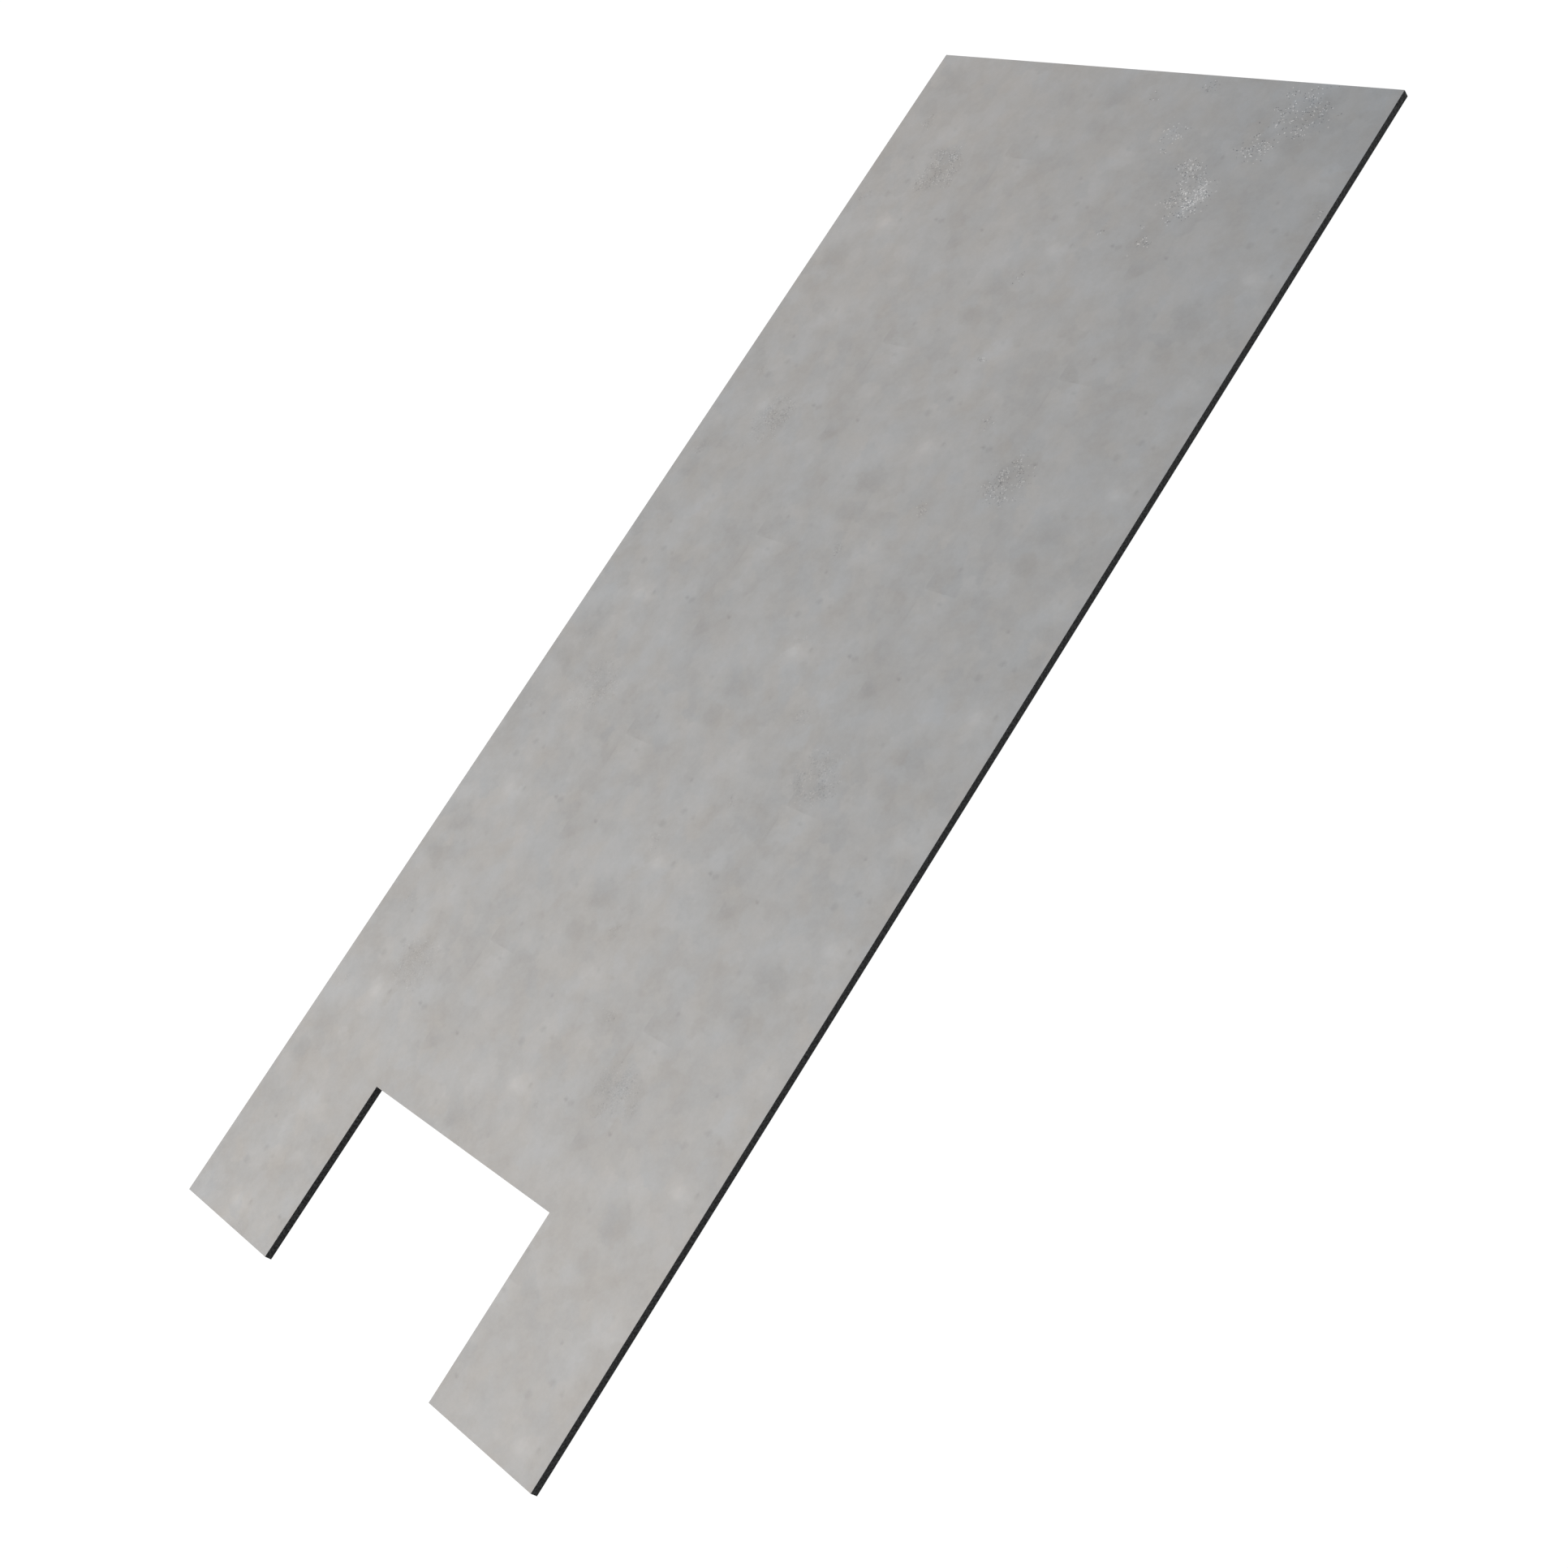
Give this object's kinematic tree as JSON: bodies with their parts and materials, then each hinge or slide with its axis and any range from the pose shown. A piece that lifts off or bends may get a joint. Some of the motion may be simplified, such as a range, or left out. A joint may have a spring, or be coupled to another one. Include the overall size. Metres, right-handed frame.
{
  "type": "compact laminate board",
  "caption": "Flat, rigid board with a concrete-look face, a black core and a matching balancing sheet behind, and a rectangular cut-out in one short end to fit round an obstacle.",
  "frame": {"origin": "middle of the underside, at the centre of the overall rectangle", "axes": "+Z out of the show face, +Y along the length from the cut-out end to the plain end, +X across the width"},
  "size_m": [0.826, 2.031, 0.012],
  "materials": {
    "face_decor": "melamine sheet printed with a cloudy, grey cast-concrete pattern, fine matt texture",
    "black_core": "sawn black phenolic laminate, matt, with fine grey flecks",
    "back_decor": "the same printed melamine sheet as the face"
  },
  "bodies": {
    "root": {"face_sheet": "face_decor", "core": "black_core", "back_sheet": "back_decor"}
  },
  "joints": []
}
